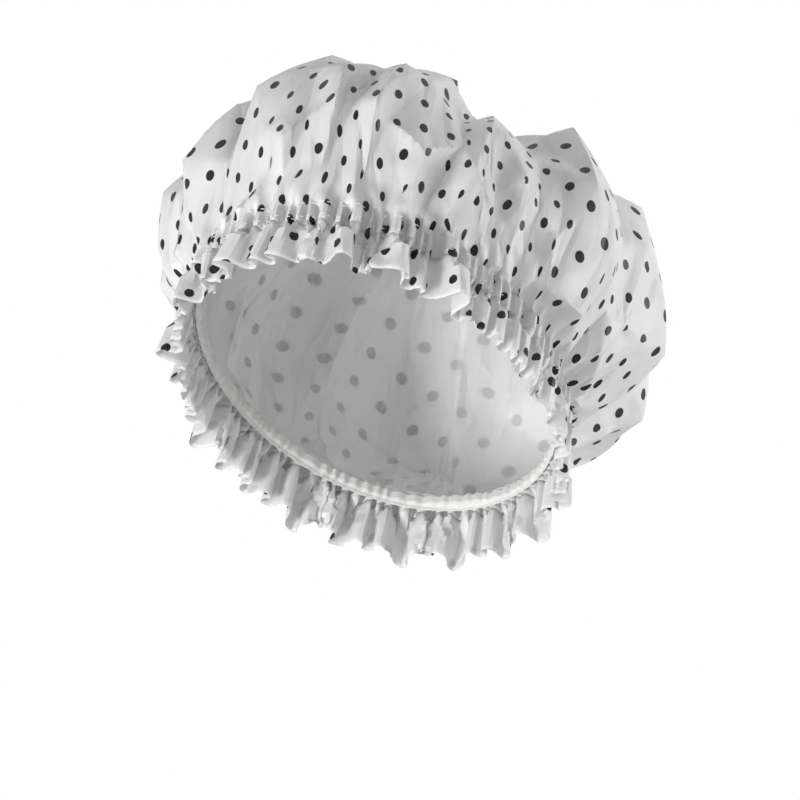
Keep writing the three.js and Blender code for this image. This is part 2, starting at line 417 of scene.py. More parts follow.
def fold_shares(climb, hang, strength, wide):
    """Shares of the film in puckers, pleats, folds and lobes, up the crown or down the frill."""
    if climb > 0:
        puckers = 1 - smooth_share(climb, *PUCKER_END)
        pleats = (1 - puckers) * (1 - smooth_share(climb, *PLEAT_END))
        folds = (1 - puckers - pleats) * strength * (1 - smooth_share(climb, *FOLD_END))
        lobes = (1 - puckers - pleats - folds) * (1 - smooth_share(climb, *LOBE_END))
        return [puckers, pleats, folds, lobes]
    pleated = smooth_share(hang, 0, PLEAT_OPENING)
    return [1 - pleated, pleated * (1 - wide), pleated * wide, 0 * wide]


def around(turns, rows, moved):
    """Rows of three values, given at turns, as they are at moved turns."""
    lined = np.append(turns, 1.0)
    wrapped = np.vstack([rows, rows[:1]])
    return np.stack([np.interp(np.mod(moved, 1), lined, wrapped[:, axis]) for axis in range(3)], axis=1)


def gathered_start(radii, counts, levels):
    """The disc's points folded roughly into place, ring by ring, before the film settles."""
    turns = np.arange(EDGE_COLUMNS) / EDGE_COLUMNS
    meridians = crown_meridians(turns)
    steps = np.linalg.norm(np.diff(meridians, axis=1), axis=2)
    walked = np.concatenate([np.zeros((len(turns), 1)), np.cumsum(steps, axis=1)], axis=1)
    lean = wandering(turns, -1, 1)
    wide = wandering(turns, 0, 1, WIDE_PLEATS)
    strength = wandering(turns, *FOLD_STRENGTH)
    rings = []
    for radius, count in zip(radii, counts):
        climb = NECK_RADIUS - radius
        hang = max(0.0, radius - CROWN_CUT_RADIUS)
        base, way, girth = ring_base(climb, hang, turns, meridians, walked)
        spare = max(1.0, 2 * math.pi * radius / girth)
        shares = fold_shares(climb, hang, strength, wide)
        moved = turns * (1 - sum(shares))
        height = np.zeros(len(turns))
        for share, edges, shape in zip(shares, levels, (meander, meander, zigzag, meander)):
            along, up = folded(turns, edges, shape, spare)
            moved = moved + share * along
            height = height + share * up
        moved = moved + PLEAT_LEAN * lean * height * (hang / FRILL_WIDTH) / rim.length
        sunk = SUNK_SHARE * smooth_share(climb, 0, SUNK_CLIMB) * np.percentile(height, SUNK_PERCENTILE)
        rise = height + PUCKER_LIFT - sunk
        ring = around(turns, base, moved) + around(turns, way, moved) * rise[:, None]
        rings.append(ring[:: EDGE_COLUMNS // count])
    top = meridians[:, -1].mean(axis=0)
    return np.vstack(rings + [top[None, :]])


def settle(film, flat, crown, goal):
    """Blender's Cloth lets the film take its own folds; every rest length comes from the flat disc."""
    film.shape_key_add(name="worn")
    cut = film.shape_key_add(name="flat")
    cut.data.foreach_set("co", (flat * SIM_SCALE).ravel())
    group = film.vertex_groups.new(name="held")
    for index, weight in enumerate(goal):
        if weight > 0:
            group.add([index], float(weight), "REPLACE")
    puffed = film.vertex_groups.new(name="puffed")
    puffed.add([int(i) for i in np.flatnonzero(crown)], 1.0, "REPLACE")
    cloth = film.modifiers.new("settle", "CLOTH")
    made = cloth.settings
    made.quality = 5
    made.mass = 0.02
    made.air_damping = 2.0
    for strain in ("tension", "compression", "shear"):
        setattr(made, strain + "_stiffness", FILM_STIFFNESS)
        setattr(made, strain + "_damping", FILM_DAMPING)
    made.bending_stiffness = 0.04
    made.bending_damping = 1.0
    made.vertex_group_mass = "held"
    made.pin_stiffness = 20.0
    made.rest_shape_key = cut
    made.use_pressure = True
    made.vertex_group_pressure = "puffed"
    made.uniform_pressure_force = 0.02
    made.effector_weights.gravity = 0.0
    cloth.collision_settings.use_collision = False
    cloth.collision_settings.use_self_collision = True
    cloth.collision_settings.self_distance_min = 0.006
    cloth.collision_settings.self_friction = 1.0
    cloth.point_cache.frame_start = 1
    cloth.point_cache.frame_end = SIM_FRAMES
    scene = bpy.context.scene
    for step in range(1, SIM_FRAMES + 1):
        scene.frame_set(step)
    depsgraph = bpy.context.evaluated_depsgraph_get()
    settled = film.evaluated_get(depsgraph).data
    points = np.zeros(len(settled.vertices) * 3)
    settled.vertices.foreach_get("co", points)
    scene.frame_set(1)
    return points.reshape(-1, 3) / SIM_SCALE


def ease(points, faces, share):
    """Points drawn towards their neighbours, which lets out wrinkles too fine for the film's stiffness."""
    pairs = np.array([(a, b) for face in faces for a, b in zip(face, face[1:] + face[:1])])
    here = np.concatenate([pairs[:, 0], pairs[:, 1]])
    there = np.concatenate([pairs[:, 1], pairs[:, 0]])
    count = np.bincount(here, minlength=len(points))
    eased = points.copy()
    for _ in range(EASE_ROUNDS):
        sums = [np.bincount(here, weights=eased[there, axis], minlength=len(points)) for axis in range(3)]
        eased += (np.stack(sums, axis=1) / count[:, None] - eased) * share[:, None] / 2
    return eased


def facet_corners(flat, lobes):
    """Points of the disc for the facets' corners, on the lobes' folds and between, and the lift of each."""
    corners = [len(flat) - 1]
    lift = np.zeros(len(flat))
    for ring, spacing in CORNER_RINGS:
        counts = np.maximum(2, np.round(np.diff(lobes) * 2 * math.pi * ring / spacing)).astype(int)
        for start, width, count in zip(lobes, np.diff(lobes), counts):
            stray = CORNER_JITTER * rng.uniform(-1, 1, count)
            stray[0] = 0
            turns = FIRST_FOLD / RIM_STATIONS + start + (np.arange(count) + stray) * width / count
            reach = (ring + rng.uniform(-1, 1, count) * CORNER_STRAY) * MM
            ways = np.column_stack([np.cos(2 * math.pi * turns), np.sin(2 * math.pi * turns)])
            for number, spot in enumerate(ways * reach[:, None]):
                corner = int(np.argmin(np.sum((flat[:, :2] - spot) ** 2, axis=1)))
                corners.append(corner)
                height = rng.uniform(*(CORNER_LIFT if number % 2 else CORNER_SINK))
                lift[corner] = height if number else 0.0
    return sorted(set(corners)), lift


def buckle_film(points, flat, lobes, normals):
    """The open film drawn towards flat facets, as a stiff film buckles, whose corners lie near the solid."""
    radius = np.linalg.norm(flat[:, :2], axis=1) / MM
    corners, lift = facet_corners(flat, lobes)
    solid = crown_solid()
    for corner in corners:
        way = Vector(normals[corner])
        hit, _, _, reach = solid.ray_cast(Vector(points[corner]) + way * SOLID_REACH * MM, -way)
        if hit and reach < 2 * SOLID_REACH * MM:
            lift[corner] += SOLID_REACH - reach / MM
    facets = delaunay_2d_cdt([Vector(flat[c, :2]) for c in corners], [], [], 0, SAME_SPOT)[2]
    free = smooth_share(CROWN_CUT_RADIUS - radius, *EASE_START)
    raised = points + normals * (lift * MM)[:, None]
    buckled = points.copy()
    for facet in facets:
        a, b, c = [corners[i] for i in facet]
        sides = np.column_stack([flat[b, :2] - flat[a, :2], flat[c, :2] - flat[a, :2]])
        along = np.linalg.solve(sides, (flat[:, :2] - flat[a, :2]).T)
        held = (along[0] >= 0) & (along[1] >= 0) & (along.sum(axis=0) <= 1)
        weights = np.column_stack([1 - along.sum(axis=0), along[0], along[1]])[held]
        plane = weights @ raised[[a, b, c]]
        rise = (weights @ lift[[a, b, c]]) * free[held] * MM
        lifted = points[held] + normals[held] * rise[:, None]
        buckled[held] = lifted + (plane - lifted) * BUCKLE_SHARE * free[held, None]
    return buckled


def crease_film(points, flat, normals):
    """Sharp straight folds in the stiff film: tents with flat sides that follow the mesh's own columns."""
    radius = np.linalg.norm(flat[:, :2], axis=1) / MM
    angle = np.arctan2(flat[:, 1], flat[:, 0])
    climb = CROWN_CUT_RADIUS - radius
    lift = np.zeros(len(points))
    column = 2 * math.pi * RIDGE_COLUMNS / EDGE_COLUMNS
    for _ in range(RIDGES):
        way = column * round(rng.uniform(0, 2 * math.pi) / column)
        low = rng.uniform(*RIDGE_FOOT)
        high = low + rng.uniform(*RIDGE_LENGTH)
        height = rng.uniform(*RIDGE_HEIGHT) * rng.choice([-1, 1], p=[VALLEY_SHARE, 1 - VALLEY_SHARE])
        width = rng.uniform(*RIDGE_WIDTH)
        beside = np.abs(np.mod(angle - way + math.pi, 2 * math.pi) - math.pi) * radius
        taper = smooth_share(climb, low - RIDGE_RISE, low) * np.clip((high - climb) / (high - low), 0, 1)
        lift += height * np.clip(1 - beside / width, 0, 1) * taper
    return points + normals * (lift * MM)[:, None]


def sharpen_folds(piece, flat):
    """Edges at more than a slight angle shade as sharp folds; in the rolled gathers only the sharpest do."""
    climb = CROWN_CUT_RADIUS - np.linalg.norm(flat[:, :2], axis=1) / MM
    heights, angles = zip(*SHARP_ANGLES)
    sharp = np.radians(np.interp(climb, heights, angles))
    mesh = bmesh.new()
    mesh.from_mesh(piece.data)
    for edge in mesh.edges:
        edge.smooth = not edge.is_manifold or edge.calc_face_angle() < sharp[edge.verts[0].index]
    mesh.to_mesh(piece.data)
    mesh.free()


def linear(hex_code):
    """An sRGB hex colour as linear RGBA."""
    parts = [int(hex_code[i:i + 2], 16) / 255 for i in (1, 3, 5)]
    return (*[c / 12.92 if c <= 0.04045 else ((c + 0.055) / 1.055) ** 2.4 for c in parts], 1.0)


def add_node(tree, kind, settings=None, inputs=None, links=None):
    """One node with its settings, its inputs' values and what feeds them."""
    node = tree.nodes.new(kind)
    for name, value in (settings or {}).items():
        setattr(node, name, value)
    for name, value in (inputs or {}).items():
        node.inputs[name].default_value = value
    for name, socket in (links or {}).items():
        tree.links.new(socket, node.inputs[name])
    return node


def new_material(name):
    """A material with an empty node tree, and the tree."""
    material = bpy.data.materials.new(name)
    material.use_nodes = True
    material.node_tree.nodes.clear()
    return material, material.node_tree


def show_surface(tree, shader):
    """The shader as a material's surface."""
    add_node(tree, "ShaderNodeOutputMaterial", None, None, {"Surface": shader})


def math_node(tree, operation, inputs=None, links=None):
    """The result of an operation on numbers."""
    return add_node(tree, "ShaderNodeMath", {"operation": operation}, inputs, links).outputs[0]


def vector_node(tree, operation, inputs=None, links=None, result="Vector"):
    """The result of an operation on vectors."""
    node = add_node(tree, "ShaderNodeVectorMath", {"operation": operation}, inputs, links)
    return node.outputs[result]


def range_node(tree, value, ends, low=0.0, high=1.0, kind="LINEAR"):
    """A value mapped so that its two ends become the low and the high."""
    inputs = {"From Min": ends[0], "From Max": ends[1], "To Min": low, "To Max": high}
    node = add_node(tree, "ShaderNodeMapRange", {"interpolation_type": kind}, inputs, {"Value": value})
    return node.outputs["Result"]


def noise_node(tree, place, scale, detail, result="Fac"):
    """Noise over a place."""
    node = add_node(tree, "ShaderNodeTexNoise", None, {"Scale": scale, "Detail": detail}, {"Vector": place})
    return node.outputs[result]


def bump_node(tree, height, strength, relief, normal=None, invert=False):
    """The normal of a relief given in millimetres, laid over another normal if there is one."""
    links = {"Height": height, "Normal": normal} if normal else {"Height": height}
    inputs = {"Strength": strength, "Distance": relief * MM}
    return add_node(tree, "ShaderNodeBump", {"invert": invert}, inputs, links).outputs["Normal"]


def tone_node(tree, share, low_hex, high_hex):
    """A colour between two others."""
    inputs = {6: linear(low_hex), 7: linear(high_hex)}
    return add_node(tree, "ShaderNodeMix", {"data_type": "RGBA"}, inputs, {0: share}).outputs[2]


def film_crinkle(tree, flat, reverse):
    """Flat facets between creases that fan up from the rim, as stiff film crinkles, with a fine grain."""
    radius = vector_node(tree, "LENGTH", None, {0: flat}, "Value")
    way = vector_node(tree, "NORMALIZE", None, {0: flat})
    columns = vector_node(tree, "SCALE", {"Scale": CROWN_CUT_RADIUS / FACET_WIDTH}, {0: way})
    inwards = math_node(tree, "DIVIDE", {1: FACET_LENGTH * MM}, {0: radius})
    rows = add_node(tree, "ShaderNodeCombineXYZ", None, None, {"Z": inwards})
    place = vector_node(tree, "ADD", None, {0: columns, 1: rows.outputs["Vector"]})
    drift = noise_node(tree, place, DRIFT_SCALE, 1.0, "Color")
    bent = vector_node(tree, "MULTIPLY_ADD", {1: (2 * FACET_WANDER,) * 3}, {0: drift, 2: place})
    below = {}
    for scale, share in FACET_LAYERS:
        cells = add_node(tree, "ShaderNodeTexVoronoi", {"feature": "DISTANCE_TO_EDGE"}, {"Scale": scale},
                         {"Vector": bent})
        layer = {0: cells.outputs["Distance"], **below}
        height = math_node(tree, "MULTIPLY_ADD", {1: share, 2: 0.0}, layer)
        below = {2: height}
    free = range_node(tree, radius, [(CROWN_CUT_RADIUS - start) * MM for start in EASE_START], GATHER_SHARE)
    top = range_node(tree, radius, [end * MM for end in FLAT_TOP], kind="SMOOTHSTEP")
    kept = math_node(tree, "MULTIPLY", None, {0: top, 1: free})
    relief = math_node(tree, "MULTIPLY", None, {0: height, 1: kept})
    facets = bump_node(tree, relief, 1.0, FACET_RELIEF, invert=reverse)
    grain = noise_node(tree, flat, 1 / (GRAIN * MM), 3.0)
    normal = bump_node(tree, grain, 0.5, GRAIN_RELIEF, facets)
    return normal, range_node(tree, grain, (0.0, 1.0), *FILM_ROUGHNESS)


def printed_film(name, film_hex, dot_and_dot_shade_hex, reverse):
    """Satin EVA film, cast and printed: a soft broad sheen, some light through it, and crisp ink dots; on
    the reverse the dots are faint grey, the print seen through the film and partly painted shade of the ink.
    """
    material, tree = new_material(name)
    flat = add_node(tree, "ShaderNodeUVMap", {"uv_map": "film_flat"}).outputs["UV"]
    normal, roughness = film_crinkle(tree, flat, reverse)
    cell = 1 / (DOT_SPACING * MM)
    turned = add_node(tree, "ShaderNodeMapping", {"vector_type": "POINT"},
                      {"Rotation": (0, 0, math.pi / 4), "Scale": (cell, cell, cell)}, {"Vector": flat})
    place = vector_node(tree, "FRACTION", None, {0: turned.outputs["Vector"]})
    middle = vector_node(tree, "SUBTRACT", {1: (0.5, 0.5, 0)}, {0: place})
    plane = vector_node(tree, "MULTIPLY", {1: (1, 1, 0)}, {0: middle})
    away = vector_node(tree, "LENGTH", None, {0: plane}, "Value")
    edge = DOT_DIAMETER / 2 / DOT_SPACING
    soft = DOT_SOFT_EDGE / DOT_SPACING
    ink = range_node(tree, away, (edge + soft, edge - soft), kind="SMOOTHSTEP")
    colour = tone_node(tree, ink, film_hex, dot_and_dot_shade_hex)
    skin = add_node(tree, "ShaderNodeBsdfPrincipled", None, {"IOR": FILM_IOR, "Specular IOR Level": 0.5},
                    {"Base Color": colour, "Roughness": roughness, "Normal": normal})
    through = add_node(tree, "ShaderNodeBsdfTranslucent", None, None, {"Color": colour, "Normal": normal})
    film = add_node(tree, "ShaderNodeMixShader", None, {0: LIGHT_THROUGH},
                    {1: skin.outputs["BSDF"], 2: through.outputs["BSDF"]})
    show_surface(tree, film.outputs["Shader"])
    return material


def put(name, data):
    """An object in the scene that shows the data."""
    thing = bpy.data.objects.new(name, data)
    bpy.context.collection.objects.link(thing)
    return thing


def mesh_piece(name, points, faces, materials):
    """A smooth-shaded mesh object in the scene."""
    mesh = bpy.data.meshes.new(name)
    mesh.from_pydata([tuple(p) for p in points], [], faces)
    for material in materials:
        mesh.materials.append(material)
    mesh.polygons.foreach_set("use_smooth", np.ones(len(mesh.polygons), dtype=bool))
    return put(name, mesh)


def give_uv(piece, name, places):
    """A UV layer with one place, in metres, for each of the mesh's points."""
    layer = piece.data.uv_layers.new(name=name)
    loops = np.zeros(len(piece.data.loops), dtype=int)
    piece.data.loops.foreach_get("vertex_index", loops)
    layer.data.foreach_set("uv", places[loops].ravel())


def dress(piece, node):
    """The piece shown in place of a node of the frame."""
    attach(piece, "root")
    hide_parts(node)


def outward_normals(points, faces):
    """Unit normals of a mesh's points, from its faces."""
    mesh = bpy.data.meshes.new("normals")
    mesh.from_pydata([tuple(p) for p in points], [], faces)
    normals = np.zeros(len(points) * 3)
    mesh.vertex_normals.foreach_get("vector", normals)
    bpy.data.meshes.remove(mesh)
    return normals.reshape(-1, 3)


def film_piece(name, points, flat, faces, materials):
    """Part of the settled film with its real thickness; the second material is on its reverse."""
    used = np.unique(np.concatenate([np.array(face) for face in faces]))
    new_index = np.full(len(points), -1)
    new_index[used] = np.arange(len(used))
    own_faces = [tuple(int(new_index[v]) for v in face) for face in faces]
    piece = mesh_piece(name, points[used], own_faces, materials)
    give_uv(piece, "film_flat", flat[used, :2])
    sharpen_folds(piece, flat[used])
    wall = piece.modifiers.new("thickness", "SOLIDIFY")
    wall.thickness = FILM_THICKNESS * MM
    wall.offset = -1
    wall.material_offset = 1
    wall.material_offset_rim = 0
    return piece


def cut_disc(radii, counts):
    """The flat disc's points in metres, its faces, and where each ring's points start."""
    starts = np.concatenate([[0], np.cumsum(counts)]).astype(int)
    centre = int(starts[-1])
    flat = np.zeros((centre + 1, 3))
    for start, radius, count in zip(starts, radii, counts):
        angle = 2 * math.pi * np.arange(count) / count
        flat[start:start + count, 0] = radius * np.cos(angle) * MM
        flat[start:start + count, 1] = radius * np.sin(angle) * MM
    return flat, ring_faces([int(s) for s in starts[:-1]], counts, centre), starts


def film_hold(radius):
    """Each point's hold while the film settles: whole in the neck, loose on the lobes and the frill."""
    depth = np.abs(radius - (CROWN_CUT_RADIUS - NECK_HALF))
    hold = np.where(depth < NECK_HALF - SEAM_MARGIN, 1.0, 0.0)
    low, high = CROWN_CUT_RADIUS * np.array(LOBE_SPAN)
    hold = np.where((radius > low) & (radius < high), FILM_HOLD, hold)
    return np.where(radius > CROWN_CUT_RADIUS + SEAM_MARGIN, FRILL_HOLD, hold)


def shape_film(flat, faces, radius, radii, counts, levels):
    """The disc's points as worn: gathered, settled, eased, buckled and creased."""
    worn = tilt(gathered_start(radii, counts, levels))
    film = mesh_piece("film_to_settle", worn * SIM_SCALE, faces, [])
    settled = settle(film, flat, radius < NECK_RADIUS, film_hold(radius))
    bpy.data.objects.remove(film)
    settled = ease(settled, faces, smooth_share(CROWN_CUT_RADIUS - radius, *EASE_START))
    settled = buckle_film(settled, flat, levels[-1], outward_normals(settled, faces))
    return crease_film(settled, flat, outward_normals(settled, faces))


def make_film():
    """The crown and the frill, cut from one disc of film; returns what the sewing needs."""
    radii, counts = disc_rings()
    flat, faces, starts = cut_disc(radii, counts)
    radius_of = np.linalg.norm(flat, axis=1) / MM
    levels = fold_edges()
    shaped = shape_film(flat, faces, radius_of, radii, counts, levels)
    sides = [
        printed_film("printed_film", "#f0f0f0", "#161616", False),
        # On the reverse the dots are painted faint grey: the print seen through the film, and partly painted
        # shade where the ink keeps out light that comes through from outside.
        printed_film("film_reverse", "#f0f0f0", "#e6e6e6", True),
    ]
    cut = min(radii, key=lambda radius: abs(radius - CROWN_CUT_RADIUS))
    in_crown = [radius_of[list(face)].max() < cut + RING_STEP / 2 for face in faces]
    crown_faces = [face for face, inner in zip(faces, in_crown) if inner]
    frill_faces = [face for face, inner in zip(faces, in_crown) if not inner]
    crown = film_piece("gathered_crown", shaped, flat, crown_faces, sides)
    frill = film_piece("pleated_frill", shaped, flat, frill_faces, sides)
    dress(crown, "film_crown")
    dress(frill, "film_frill")
    return {"radii": radii, "counts": counts, "starts": starts, "points": shaped,
            "normals": outward_normals(shaped, faces), "puckers": levels[0]}


def join_share(station):
    """Share of the elastic's lapped join at a station: 1 over the lap and 0 a station past it."""
    return np.clip(2 - np.abs(station - JOIN_STATION), 0, 1)


def beside_rim(turns, out, up):
    """Points at distances out from the rim and up from its plane."""
    place, away = rim.at(turns)
    return np.concatenate([place + away * out[..., None], up[..., None]], axis=-1)


def casing_surface(puckers, turns, up):
    """The casing tape's face at turns and heights: on the film at its margins, off it over the elastic."""
    tunnel = 1 - smooth_share(np.abs(up), TUNNEL_HALF, MARGIN_START)
    depth = TUNNEL_DEPTH + (LAP_DEPTH - TUNNEL_DEPTH) * join_share(turns * RIM_STATIONS)
    place, start, width = in_folds(turns, puckers)
    phase = (place - start) / width
    loose = MARGIN_PUCKER + (1 - MARGIN_PUCKER) * tunnel
    puff = np.sin(math.pi * phase) ** 2 * TAPE_PUCKER * loose
    out = -LAY_GAP - (depth - LAY_GAP) * tunnel - puff
    return beside_rim(turns, out, up)


def grid_faces(rows, columns):
    """Quads of a grid whose columns run round."""
    faces = []
    for here in range(0, (rows - 1) * columns, columns):
        there = here + columns
        for c in range(columns):
            after = (c + 1) % columns
            faces.append((here + c, here + after, there + after, there + c))
    return faces


def make_tape(puckers):
    """The casing tape, puckered with the film's rim."""
    turns, up = np.meshgrid(np.arange(TAPE_COLUMNS) / TAPE_COLUMNS,
                            np.linspace(-TAPE_HALF, TAPE_HALF, TAPE_ROWS))
    points = casing_surface(puckers, turns, up)
    faces = [face[::-1] for face in grid_faces(TAPE_ROWS, TAPE_COLUMNS)]
    tape = mesh_piece("puckered_casing", tilt(points.reshape(-1, 3)), faces,
                      [plain_film("casing_film", "#eeeeec")])
    wall = tape.modifiers.new("thickness", "SOLIDIFY")
    wall.thickness = TAPE_THICKNESS * MM
    wall.offset = -1
    dress(tape, "casing_tape")


def make_elastic():
    """A flat braid once round the rim, whose last stretch lies on its first."""
    first, last = JOIN_STATION - 1, JOIN_STATION + RIM_STATIONS + 1
    stations = np.linspace(first, last, int((last - first) * ELASTIC_STEPS) + 1)
    lapped = np.where(stations > JOIN_STATION + 1, join_share(stations - RIM_STATIONS), 0)
    across = np.linspace(-1, 1, 4 * ELASTIC_RIBS + 1)
    half = ELASTIC_THICKNESS / 2
    relief = RIB_RELIEF * (1 - np.cos(2 * math.pi * ELASTIC_RIBS * (across + 1) / 2)) / 2
    edge = half * np.sqrt(np.clip(1 - np.abs(across) ** ROUND_EDGE_POWER, 0, 1))
    outer = np.column_stack([edge - relief * (edge > 0), across * ELASTIC_WIDTH / 2])
    inner = outer[-2:0:-1] * np.array([-1, 1])
    section = np.vstack([outer, inner])
    middle = -LAY_GAP - half - lapped * (ELASTIC_THICKNESS + LAY_GAP)
    turns = np.repeat(stations[:, None] / RIM_STATIONS, len(section), axis=1)
    points = beside_rim(turns, middle[:, None] + section[None, :, 0],
                        np.repeat(section[None, :, 1], len(stations), axis=0))
    columns = len(section)
    faces = grid_faces(len(stations), columns)
    faces.append(tuple(range(columns))[::-1])
    faces.append(tuple(range((len(stations) - 1) * columns, len(stations) * columns)))
    band = mesh_piece("braided_band", tilt(points.reshape(-1, 3)), faces, [braided_elastic()])
    point_outwards(band)
    run = np.repeat(stations / RIM_STATIONS * rim.length * MM, columns)
    side = np.tile(section[:, 1] * MM, len(stations))
    give_uv(band, "braid", np.column_stack([run, side]))
    dress(band, "elastic_band")


def point_outwards(piece):
    """Faces turned so that their normals point out of the closed mesh."""
    mesh = bmesh.new()
    mesh.from_mesh(piece.data)
    bmesh.ops.recalc_face_normals(mesh, faces=mesh.faces)
    mesh.to_mesh(piece.data)
    mesh.free()


def stitch_tree():
    """Stitches along a curve: a short thread, full in its middle, at every pitch."""
    tree = bpy.data.node_groups.new("stitch_row", "GeometryNodeTree")
    tree.interface.new_socket("Path", in_out="INPUT", socket_type="NodeSocketGeometry")
    for name in ("Pitch", "Stitch length", "Thread radius"):
        tree.interface.new_socket(name, in_out="INPUT", socket_type="NodeSocketFloat")
    tree.interface.new_socket("Thread", in_out="INPUT", socket_type="NodeSocketMaterial")
    tree.interface.new_socket("Stitches", in_out="OUTPUT", socket_type="NodeSocketGeometry")
    given = add_node(tree, "NodeGroupInput")
    places = add_node(tree, "GeometryNodeResampleCurve", {"mode": "LENGTH"}, None,
                      {"Curve": given.outputs["Path"], "Length": given.outputs["Pitch"]})
    heading = add_node(tree, "GeometryNodeInputTangent")
    turned = add_node(tree, "FunctionNodeAlignRotationToVector", {"axis": "Z"}, None,
                      {"Vector": heading.outputs["Tangent"]})
    straight = add_node(tree, "GeometryNodeCurvePrimitiveLine", {"mode": "DIRECTION"},
                        {"Direction": (0, 0, 1)}, {"Length": given.outputs["Stitch length"]})
    steps = add_node(tree, "GeometryNodeResampleCurve", {"mode": "COUNT"}, {"Count": 6},
                     {"Curve": straight.outputs["Curve"]})
    share = add_node(tree, "GeometryNodeSplineParameter")
    from_middle = math_node(tree, "MULTIPLY_ADD", {1: 2.0, 2: -1.0}, {0: share.outputs["Factor"]})
    fourth = math_node(tree, "POWER", {1: 4.0}, {0: from_middle})
    left = math_node(tree, "SUBTRACT", {0: 1.05}, {1: fourth})
    full = math_node(tree, "SQRT", None, {0: left})
    radius = math_node(tree, "MULTIPLY", None, {0: full, 1: given.outputs["Thread radius"]})
    ring = add_node(tree, "GeometryNodeCurvePrimitiveCircle", {"mode": "RADIUS"},
                    {"Resolution": 6, "Radius": 1.0})
    stitch = add_node(tree, "GeometryNodeCurveToMesh", None, {"Fill Caps": True},
                      {"Curve": steps.outputs["Curve"], "Profile Curve": ring.outputs["Curve"],
                       "Scale": radius})
    row = add_node(tree, "GeometryNodeInstanceOnPoints", None, None,
                   {"Points": places.outputs["Curve"], "Instance": stitch.outputs["Mesh"],
                    "Rotation": turned.outputs["Rotation"]})
    real = add_node(tree, "GeometryNodeRealizeInstances", None, None, {"Geometry": row.outputs["Instances"]})
    smooth = add_node(tree, "GeometryNodeSetShadeSmooth", None, None, {"Geometry": real.outputs["Geometry"]})
    finished = add_node(tree, "GeometryNodeSetMaterial", None, None,
                        {"Geometry": smooth.outputs["Geometry"], "Material": given.outputs["Thread"]})
    add_node(tree, "NodeGroupOutput", None, None, {"Stitches": finished.outputs["Geometry"]})
    return tree


def make_stitches(name, node, path, tree, thread):
    """A row of stitches along a closed path, as a plain mesh that stands for one thread."""
    line = bpy.data.curves.new(name + "_path", "CURVE")
    line.dimensions = "3D"
    spline = line.splines.new("POLY")
    spline.points.add(len(path) - 1)
    spline.points.foreach_set("co", np.column_stack([path, np.ones(len(path))]).ravel())
    spline.use_cyclic_u = True
    guide = put(name + "_path", line)
    sewn = guide.modifiers.new("stitches", "NODES")
    sewn.node_group = tree
    values = {"Pitch": STITCH_PITCH * MM, "Stitch length": STITCH_LENGTH * MM,
              "Thread radius": THREAD_DIAMETER / 2 * MM, "Thread": thread}
    for socket in tree.interface.items_tree:
        if socket.in_out == "INPUT" and socket.name in values:
            sewn[socket.identifier] = values[socket.name]
    depsgraph = bpy.context.evaluated_depsgraph_get()
    mesh = bpy.data.meshes.new_from_object(guide.evaluated_get(depsgraph))
    bpy.data.objects.remove(guide)
    dress(put(name, mesh), node)


def make_sewing(film):
    """Both rows of stitches on the film and on the tape, and the thread of the tack."""
    thread = spun_thread()
    tree = stitch_tree()
    turns = np.arange(TAPE_COLUMNS) / TAPE_COLUMNS
    for side, height in (("upper", STITCH_HEIGHT), ("lower", -STITCH_HEIGHT)):
        radius = CROWN_CUT_RADIUS - NECK_HALF - height
        ring = min(range(len(film["radii"])), key=lambda i: abs(film["radii"][i] - radius))
        start, count = film["starts"][ring], film["counts"][ring]
        own = slice(start, start + count)
        on_film = film["points"][own] + film["normals"][own] * THREAD_DIAMETER / 4 * MM
        make_stitches(side + "_needle_stitches", side + "_needle_thread", on_film, tree, thread)
        seat = casing_surface(film["puckers"], turns, np.full(TAPE_COLUMNS, height))
        _, away = rim.at(turns)
        seat[:, :2] -= away * THREAD_DIAMETER / 4
        make_stitches(side + "_bobbin_stitches", side + "_bobbin_thread", tilt(seat), tree, thread)
    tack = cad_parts["elastic_tack"]
    tack.data.materials.clear()
    tack.data.materials.append(thread)


def plain_film(name, hex_code):
    """Unprinted EVA film, cast: soft satin, a little light through it, faint ripples along the tape."""
    material, tree = new_material(name)
    place = add_node(tree, "ShaderNodeTexCoord").outputs["Object"]
    ripple = noise_node(tree, place, 1 / (TAPE_RIPPLE * MM), 3.0)
    skin = add_node(tree, "ShaderNodeBsdfPrincipled", None,
                    {"Base Color": linear(hex_code), "Roughness": 0.42, "IOR": FILM_IOR},
                    {"Normal": bump_node(tree, ripple, 0.25, 0.15)})
    through = add_node(tree, "ShaderNodeBsdfTranslucent", None, {"Color": linear(hex_code)})
    film = add_node(tree, "ShaderNodeMixShader", None, {0: 0.2},
                    {1: skin.outputs["BSDF"], 2: through.outputs["BSDF"]})
    show_surface(tree, film.outputs["Shader"])
    return material


def braided_elastic():
    """Polyester braid over rubber: matt, with crossing yarns at a slant, drawn as coarse as they show, and
    painted shade that darkens the grooves between the yarns.
    """
    material, tree = new_material("braided_elastic")
    run = add_node(tree, "ShaderNodeUVMap", {"uv_map": "braid"})
    heights = []
    for slant in (BRAID_SLANT, -BRAID_SLANT):
        turned = add_node(tree, "ShaderNodeMapping", None, {"Rotation": (0, 0, slant)},
                          {"Vector": run.outputs["UV"]})
        yarn = add_node(tree, "ShaderNodeTexWave", {"wave_type": "BANDS", "bands_direction": "X"},
                        {"Scale": WAVE_BAND / (BRAID_STEP * MM), "Distortion": 0.3},
                        {"Vector": turned.outputs["Vector"]})
        heights.append(yarn.outputs["Fac"])
    weave_height_and_shade = math_node(tree, "MAXIMUM", None, {0: heights[0], 1: heights[1]})
    skin = add_node(tree, "ShaderNodeBsdfPrincipled", None,
                    {"Roughness": 0.85, "IOR": 1.5, "Sheen Weight": 0.2},
                    # The colour is darker where the weave is low: painted shade in the grooves between the
                    # yarns.
                    {"Base Color": tone_node(tree, weave_height_and_shade, "#d8d8d5", "#f4f4f2"),
                     "Normal": bump_node(tree, weave_height_and_shade, 0.6, 0.2)})
    show_surface(tree, skin.outputs["BSDF"])
    return material


